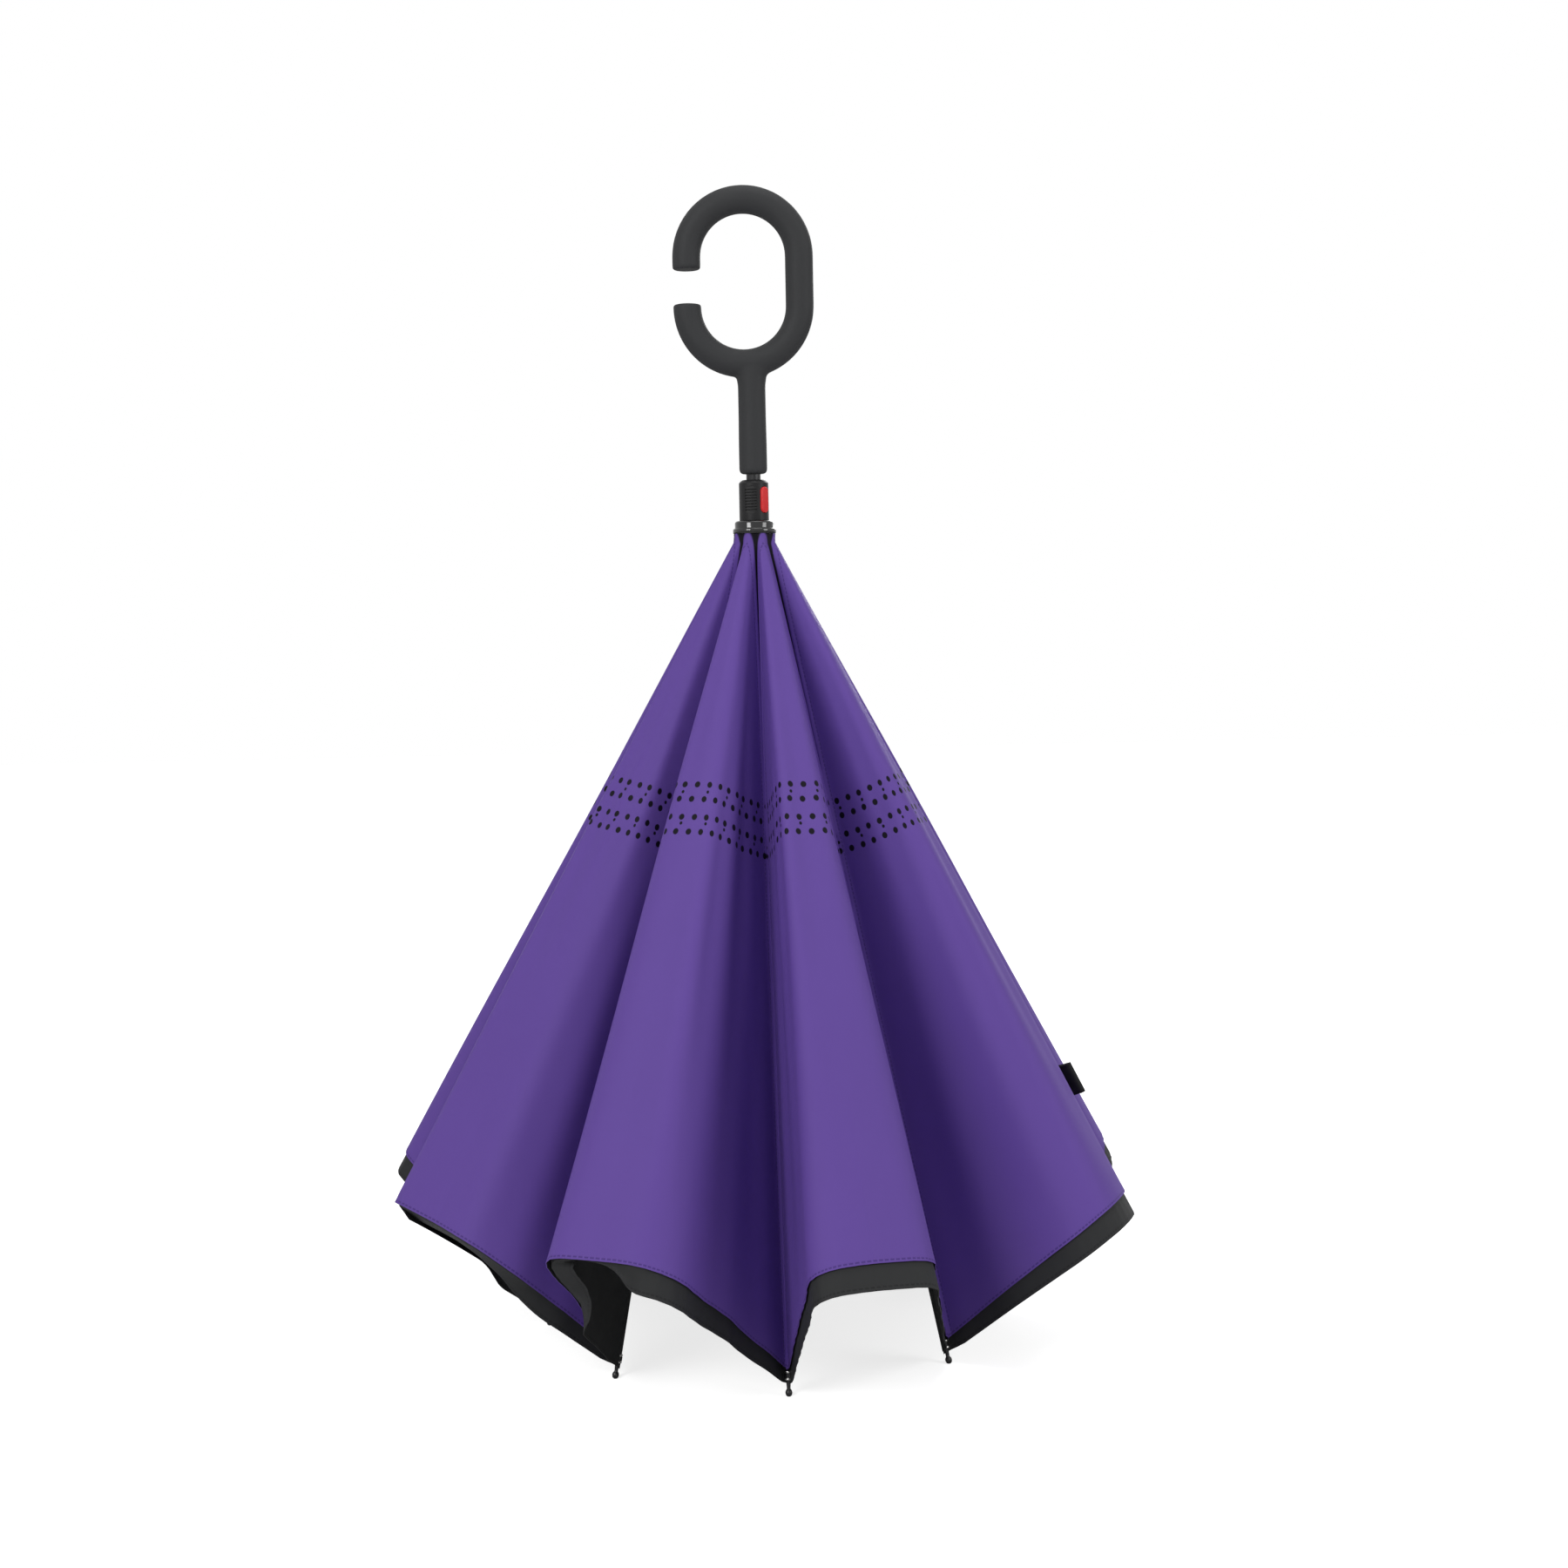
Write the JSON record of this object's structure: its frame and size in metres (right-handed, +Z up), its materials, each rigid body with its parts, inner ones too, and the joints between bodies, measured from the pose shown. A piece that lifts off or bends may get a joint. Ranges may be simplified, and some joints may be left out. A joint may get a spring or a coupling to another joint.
{
  "type": "inverted umbrella",
  "caption": "Inverted double-canopy umbrella, folded and standing on its rib tips, with a C-shaped handle, a sliding runner with a release button, ribs and stretchers.",
  "frame": {"origin": "on the shaft's axis at the floor that the rib tips stand on", "axes": "+Z up along the shaft towards the handle; the handle's opening faces -X, and -Y faces the viewer of the picture"},
  "size_m": [0.5227, 0.535, 0.8],
  "materials": {
    "violet_cloth": "woven, satin sheen",
    "black_cloth": "woven, matte",
    "black_webbing": "woven, matte",
    "soft_touch": "soft-touch matte",
    "black_plastic": "satin",
    "gloss_black_plastic": "gloss",
    "red_plastic": "satin",
    "painted_steel": "satin black",
    "plated_steel": "bright plated"
  },
  "bodies": {
    "root": {"handle_grip": "soft_touch", "shaft": "painted_steel", "crown_hub": "black_plastic", "end_cap": "black_plastic"},
    "runner": {"runner_sleeve": "black_plastic", "runner_collar": "gloss_black_plastic", "rib_ring": "black_plastic", "rib_wire": "plated_steel", "button_spring": "plated_steel"},
    "button": {"release_button": "red_plastic"},
    "rib_1": {"rib_1": "plated_steel"},
    "stretcher_1": {"stretcher_1": "plated_steel"},
    "rib_2": {"rib_2": "plated_steel"},
    "stretcher_2": {"stretcher_2": "plated_steel"},
    "rib_3": {"rib_3": "plated_steel"},
    "stretcher_3": {"stretcher_3": "plated_steel"},
    "rib_4": {"rib_4": "plated_steel"},
    "stretcher_4": {"stretcher_4": "plated_steel"},
    "rib_5": {"rib_5": "plated_steel"},
    "stretcher_5": {"stretcher_5": "plated_steel"},
    "rib_6": {"rib_6": "plated_steel"},
    "stretcher_6": {"stretcher_6": "plated_steel"},
    "rib_7": {"rib_7": "plated_steel"},
    "stretcher_7": {"stretcher_7": "plated_steel"},
    "rib_8": {"rib_8": "plated_steel"},
    "stretcher_8": {"stretcher_8": "plated_steel"},
    "gore_1_near": {"outer_gore_1": "black_cloth"},
    "gore_1_mid": {"inner_gore_1": "violet_cloth"},
    "gore_1_far": {"seam_tape_1": "black_cloth"},
    "gore_2_near": {"outer_gore_2": "black_cloth"},
    "gore_2_mid": {"inner_gore_2": "violet_cloth"},
    "gore_2_far": {"seam_tape_2": "black_cloth"},
    "gore_3_near": {"outer_gore_3": "black_cloth"},
    "gore_3_mid": {"inner_gore_3": "violet_cloth"},
    "gore_3_far": {"seam_tape_3": "black_cloth"},
    "gore_4_near": {"outer_gore_4": "black_cloth"},
    "gore_4_mid": {"inner_gore_4": "violet_cloth"},
    "gore_4_far": {"seam_tape_4": "black_cloth", "closing_strap": "black_webbing"},
    "gore_5_near": {"outer_gore_5": "black_cloth"},
    "gore_5_mid": {"inner_gore_5": "violet_cloth"},
    "gore_5_far": {"seam_tape_5": "black_cloth"},
    "gore_6_near": {"outer_gore_6": "black_cloth"},
    "gore_6_mid": {"inner_gore_6": "violet_cloth"},
    "gore_6_far": {"seam_tape_6": "black_cloth"},
    "gore_7_near": {"outer_gore_7": "black_cloth"},
    "gore_7_mid": {"inner_gore_7": "violet_cloth"},
    "gore_7_far": {"seam_tape_7": "black_cloth"},
    "gore_8_near": {"outer_gore_8": "black_cloth"},
    "gore_8_mid": {"inner_gore_8": "violet_cloth"},
    "gore_8_far": {"seam_tape_8": "black_cloth"}
  },
  "joints": [
    {"name": "runner_slide", "type": "slide", "parent": "root", "child": "runner", "axis": [0, 0, -1], "range_m": [0, 0.46246]},
    {"name": "rib_1_hinge", "type": "hinge", "parent": "runner", "child": "rib_1", "pos_m": [-0.00998, -0.0007, 0.55541], "axis": [-0.0698, 0.9976, 0], "range_deg": [0, 96.02]},
    {"name": "stretcher_1_hinge", "type": "hinge", "parent": "root", "child": "stretcher_1", "pos_m": [-0.00848, -0.00059, 0.055], "axis": [0.0698, -0.9976, 0], "range_deg": [0, 47.18]},
    {"name": "rib_2_hinge", "type": "hinge", "parent": "runner", "child": "rib_2", "pos_m": [-0.00656, -0.00755, 0.55541], "axis": [-0.7547, 0.6561, 0], "range_deg": [0, 96.02]},
    {"name": "stretcher_2_hinge", "type": "hinge", "parent": "root", "child": "stretcher_2", "pos_m": [-0.00558, -0.00641, 0.055], "axis": [0.7547, -0.6561, 0], "range_deg": [0, 47.18]},
    {"name": "rib_3_hinge", "type": "hinge", "parent": "runner", "child": "rib_3", "pos_m": [0.0007, -0.00998, 0.55541], "axis": [-0.9976, -0.0698, 0], "range_deg": [0, 96.02]},
    {"name": "stretcher_3_hinge", "type": "hinge", "parent": "root", "child": "stretcher_3", "pos_m": [0.00059, -0.00848, 0.055], "axis": [0.9976, 0.0698, 0], "range_deg": [0, 47.18]},
    {"name": "rib_4_hinge", "type": "hinge", "parent": "runner", "child": "rib_4", "pos_m": [0.00755, -0.00656, 0.55541], "axis": [-0.6561, -0.7547, 0], "range_deg": [0, 96.02]},
    {"name": "stretcher_4_hinge", "type": "hinge", "parent": "root", "child": "stretcher_4", "pos_m": [0.00641, -0.00558, 0.055], "axis": [0.6561, 0.7547, 0], "range_deg": [0, 47.18]},
    {"name": "rib_5_hinge", "type": "hinge", "parent": "runner", "child": "rib_5", "pos_m": [0.00998, 0.0007, 0.55541], "axis": [0.0698, -0.9976, 0], "range_deg": [0, 96.02]},
    {"name": "stretcher_5_hinge", "type": "hinge", "parent": "root", "child": "stretcher_5", "pos_m": [0.00848, 0.00059, 0.055], "axis": [-0.0698, 0.9976, 0], "range_deg": [0, 47.18]},
    {"name": "rib_6_hinge", "type": "hinge", "parent": "runner", "child": "rib_6", "pos_m": [0.00656, 0.00755, 0.55541], "axis": [0.7547, -0.6561, 0], "range_deg": [0, 96.02]},
    {"name": "stretcher_6_hinge", "type": "hinge", "parent": "root", "child": "stretcher_6", "pos_m": [0.00558, 0.00641, 0.055], "axis": [-0.7547, 0.6561, 0], "range_deg": [0, 47.18]},
    {"name": "rib_7_hinge", "type": "hinge", "parent": "runner", "child": "rib_7", "pos_m": [-0.0007, 0.00998, 0.55541], "axis": [0.9976, 0.0698, 0], "range_deg": [0, 96.02]},
    {"name": "stretcher_7_hinge", "type": "hinge", "parent": "root", "child": "stretcher_7", "pos_m": [-0.00059, 0.00848, 0.055], "axis": [-0.9976, -0.0698, 0], "range_deg": [0, 47.18]},
    {"name": "rib_8_hinge", "type": "hinge", "parent": "runner", "child": "rib_8", "pos_m": [-0.00755, 0.00656, 0.55541], "axis": [0.6561, 0.7547, 0], "range_deg": [0, 96.02]},
    {"name": "stretcher_8_hinge", "type": "hinge", "parent": "root", "child": "stretcher_8", "pos_m": [-0.00641, 0.00558, 0.055], "axis": [-0.6561, -0.7547, 0], "range_deg": [0, 47.18]},
    {"name": "gore_1_near_fold", "type": "hinge", "parent": "rib_1", "child": "gore_1_near", "pos_m": [-0.00949, -0.00066, 0.56551], "axis": [0.2582, 0.0181, 0.9659], "range_deg": [0, 42.8], "deforming": ["outer_gore_1"]},
    {"name": "gore_1_mid_fold", "type": "hinge", "parent": "gore_1_near", "child": "gore_1_mid", "pos_m": [-0.00949, -0.00066, 0.56551], "axis": [-0.4649, -0.2273, -0.8557], "range_deg": [0, 94.81], "deforming": ["inner_gore_1"]},
    {"name": "gore_1_far_fold", "type": "hinge", "parent": "gore_1_mid", "child": "gore_1_far", "pos_m": [-0.00949, -0.00066, 0.56551], "axis": [-0.3305, -0.3458, -0.8782], "range_deg": [0, 78.69], "deforming": ["seam_tape_1"]},
    {"name": "gore_2_near_fold", "type": "hinge", "parent": "rib_2", "child": "gore_2_near", "pos_m": [-0.00624, -0.00718, 0.56551], "axis": [0.1698, 0.1953, 0.9659], "range_deg": [0, 62.93], "deforming": ["outer_gore_2"]},
    {"name": "gore_2_mid_fold", "type": "hinge", "parent": "gore_2_near", "child": "gore_2_mid", "pos_m": [-0.00624, -0.00718, 0.56551], "axis": [-0.261, -0.4327, -0.8629], "range_deg": [0, 86.46], "deforming": ["inner_gore_2"]},
    {"name": "gore_2_far_fold", "type": "hinge", "parent": "gore_2_mid", "child": "gore_2_far", "pos_m": [-0.00624, -0.00718, 0.56551], "axis": [-0.1156, -0.4967, -0.8602], "range_deg": [0, 82.08], "deforming": ["seam_tape_2"]},
    {"name": "gore_3_near_fold", "type": "hinge", "parent": "rib_3", "child": "gore_3_near", "pos_m": [0.00066, -0.00949, 0.56551], "axis": [-0.0181, 0.2582, 0.9659], "range_deg": [0, 79.01], "deforming": ["outer_gore_3"]},
    {"name": "gore_3_mid_fold", "type": "hinge", "parent": "gore_3_near", "child": "gore_3_mid", "pos_m": [0.00066, -0.00949, 0.56551], "axis": [0.0473, -0.5048, -0.8619], "range_deg": [0, 101.24], "deforming": ["inner_gore_3"]},
    {"name": "gore_3_far_fold", "type": "hinge", "parent": "gore_3_mid", "child": "gore_3_far", "pos_m": [0.00066, -0.00949, 0.56551], "axis": [0.1892, -0.4578, -0.8687], "range_deg": [0, 67.58], "deforming": ["seam_tape_3"]},
    {"name": "gore_4_near_fold", "type": "hinge", "parent": "rib_4", "child": "gore_4_near", "pos_m": [0.00718, -0.00624, 0.56551], "axis": [-0.1953, 0.1698, 0.9659], "range_deg": [0, 71.36], "deforming": ["outer_gore_4"]},
    {"name": "gore_4_mid_fold", "type": "hinge", "parent": "gore_4_near", "child": "gore_4_mid", "pos_m": [0.00718, -0.00624, 0.56551], "axis": [0.4125, -0.2953, -0.8618], "range_deg": [0, 102.37], "deforming": ["inner_gore_4"]},
    {"name": "gore_4_far_fold", "type": "hinge", "parent": "gore_4_mid", "child": "gore_4_far", "pos_m": [0.00718, -0.00624, 0.56551], "axis": [0.4694, -0.117, -0.8752], "range_deg": [0, 71.09], "deforming": ["seam_tape_4"]},
    {"name": "gore_5_near_fold", "type": "hinge", "parent": "rib_5", "child": "gore_5_near", "pos_m": [0.00949, 0.00066, 0.56551], "axis": [-0.2582, -0.0181, 0.9659], "range_deg": [0, 72.8], "deforming": ["outer_gore_5"]},
    {"name": "gore_5_mid_fold", "type": "hinge", "parent": "gore_5_near", "child": "gore_5_mid", "pos_m": [0.00949, 0.00066, 0.56551], "axis": [0.489, 0.0731, -0.8692], "range_deg": [0, 100.5], "deforming": ["inner_gore_5"]},
    {"name": "gore_5_far_fold", "type": "hinge", "parent": "gore_5_mid", "child": "gore_5_far", "pos_m": [0.00949, 0.00066, 0.56551], "axis": [0.4002, 0.2669, -0.8767], "range_deg": [0, 78.78], "deforming": ["seam_tape_5"]},
    {"name": "gore_6_near_fold", "type": "hinge", "parent": "rib_6", "child": "gore_6_near", "pos_m": [0.00624, 0.00718, 0.56551], "axis": [-0.1698, -0.1953, 0.9659], "range_deg": [0, 58.83], "deforming": ["outer_gore_6"]},
    {"name": "gore_6_mid_fold", "type": "hinge", "parent": "gore_6_near", "child": "gore_6_mid", "pos_m": [0.00624, 0.00718, 0.56551], "axis": [0.2437, 0.4425, -0.863], "range_deg": [0, 86.97], "deforming": ["inner_gore_6"]},
    {"name": "gore_6_far_fold", "type": "hinge", "parent": "gore_6_mid", "child": "gore_6_far", "pos_m": [0.00624, 0.00718, 0.56551], "axis": [0.0834, 0.4982, -0.863], "range_deg": [0, 83.27], "deforming": ["seam_tape_6"]},
    {"name": "gore_7_near_fold", "type": "hinge", "parent": "rib_7", "child": "gore_7_near", "pos_m": [-0.00066, 0.00949, 0.56551], "axis": [0.0181, -0.2582, 0.9659], "range_deg": [0, 60.5], "deforming": ["outer_gore_7"]},
    {"name": "gore_7_mid_fold", "type": "hinge", "parent": "gore_7_near", "child": "gore_7_mid", "pos_m": [-0.00066, 0.00949, 0.56551], "axis": [-0.1247, 0.4721, -0.8727], "range_deg": [0, 90.47], "deforming": ["inner_gore_7"]},
    {"name": "gore_7_far_fold", "type": "hinge", "parent": "gore_7_mid", "child": "gore_7_far", "pos_m": [-0.00066, 0.00949, 0.56551], "axis": [-0.3197, 0.3691, -0.8727], "range_deg": [0, 90.27], "deforming": ["seam_tape_7"]},
    {"name": "gore_8_near_fold", "type": "hinge", "parent": "rib_8", "child": "gore_8_near", "pos_m": [-0.00718, 0.00624, 0.56551], "axis": [0.1953, -0.1698, 0.9659], "range_deg": [0, 55.35], "deforming": ["outer_gore_8"]},
    {"name": "gore_8_mid_fold", "type": "hinge", "parent": "gore_8_near", "child": "gore_8_mid", "pos_m": [-0.00718, 0.00624, 0.56551], "axis": [-0.4311, 0.2244, -0.874], "range_deg": [0, 79.11], "deforming": ["inner_gore_8"]},
    {"name": "gore_8_far_fold", "type": "hinge", "parent": "gore_8_mid", "child": "gore_8_far", "pos_m": [-0.00718, 0.00624, 0.56551], "axis": [-0.5054, 0.0442, -0.8618], "range_deg": [0, 95.77], "deforming": ["seam_tape_8"]},
    {"name": "button_press", "type": "slide", "parent": "runner", "child": "button", "axis": [-0.7071, 0.7071, 0], "range_m": [0, 0.0015], "stiffness_N_per_m": 400, "springref_m": -0.0015, "deforming": ["button_spring"]}
  ],
  "couplings": [
    {"joint": "rib_1_hinge", "follows": "runner_slide", "rad_per_m": 3.623},
    {"joint": "stretcher_1_hinge", "follows": "runner_slide", "rad_per_m": 1.7798},
    {"joint": "rib_2_hinge", "follows": "runner_slide", "rad_per_m": 3.623},
    {"joint": "stretcher_2_hinge", "follows": "runner_slide", "rad_per_m": 1.7798},
    {"joint": "rib_3_hinge", "follows": "runner_slide", "rad_per_m": 3.623},
    {"joint": "stretcher_3_hinge", "follows": "runner_slide", "rad_per_m": 1.7798},
    {"joint": "rib_4_hinge", "follows": "runner_slide", "rad_per_m": 3.623},
    {"joint": "stretcher_4_hinge", "follows": "runner_slide", "rad_per_m": 1.7798},
    {"joint": "rib_5_hinge", "follows": "runner_slide", "rad_per_m": 3.623},
    {"joint": "stretcher_5_hinge", "follows": "runner_slide", "rad_per_m": 1.7798},
    {"joint": "rib_6_hinge", "follows": "runner_slide", "rad_per_m": 3.623},
    {"joint": "stretcher_6_hinge", "follows": "runner_slide", "rad_per_m": 1.7798},
    {"joint": "rib_7_hinge", "follows": "runner_slide", "rad_per_m": 3.623},
    {"joint": "stretcher_7_hinge", "follows": "runner_slide", "rad_per_m": 1.7798},
    {"joint": "rib_8_hinge", "follows": "runner_slide", "rad_per_m": 3.623},
    {"joint": "stretcher_8_hinge", "follows": "runner_slide", "rad_per_m": 1.7798},
    {"joint": "gore_1_near_fold", "follows": "runner_slide", "rad_per_m": 1.6145},
    {"joint": "gore_1_mid_fold", "follows": "runner_slide", "rad_per_m": 3.5773},
    {"joint": "gore_1_far_fold", "follows": "runner_slide", "rad_per_m": 2.9688},
    {"joint": "gore_2_near_fold", "follows": "runner_slide", "rad_per_m": 2.3743},
    {"joint": "gore_2_mid_fold", "follows": "runner_slide", "rad_per_m": 3.2621},
    {"joint": "gore_2_far_fold", "follows": "runner_slide", "rad_per_m": 3.0971},
    {"joint": "gore_3_near_fold", "follows": "runner_slide", "rad_per_m": 2.9811},
    {"joint": "gore_3_mid_fold", "follows": "runner_slide", "rad_per_m": 3.82},
    {"joint": "gore_3_far_fold", "follows": "runner_slide", "rad_per_m": 2.5499},
    {"joint": "gore_4_near_fold", "follows": "runner_slide", "rad_per_m": 2.6922},
    {"joint": "gore_4_mid_fold", "follows": "runner_slide", "rad_per_m": 3.8625},
    {"joint": "gore_4_far_fold", "follows": "runner_slide", "rad_per_m": 2.6821},
    {"joint": "gore_5_near_fold", "follows": "runner_slide", "rad_per_m": 2.7466},
    {"joint": "gore_5_mid_fold", "follows": "runner_slide", "rad_per_m": 3.792},
    {"joint": "gore_5_far_fold", "follows": "runner_slide", "rad_per_m": 2.9725},
    {"joint": "gore_6_near_fold", "follows": "runner_slide", "rad_per_m": 2.2196},
    {"joint": "gore_6_mid_fold", "follows": "runner_slide", "rad_per_m": 3.2813},
    {"joint": "gore_6_far_fold", "follows": "runner_slide", "rad_per_m": 3.1417},
    {"joint": "gore_7_near_fold", "follows": "runner_slide", "rad_per_m": 2.2826},
    {"joint": "gore_7_mid_fold", "follows": "runner_slide", "rad_per_m": 3.4135},
    {"joint": "gore_7_far_fold", "follows": "runner_slide", "rad_per_m": 3.4059},
    {"joint": "gore_8_near_fold", "follows": "runner_slide", "rad_per_m": 2.088},
    {"joint": "gore_8_mid_fold", "follows": "runner_slide", "rad_per_m": 2.985},
    {"joint": "gore_8_far_fold", "follows": "runner_slide", "rad_per_m": 3.6135}
  ]
}
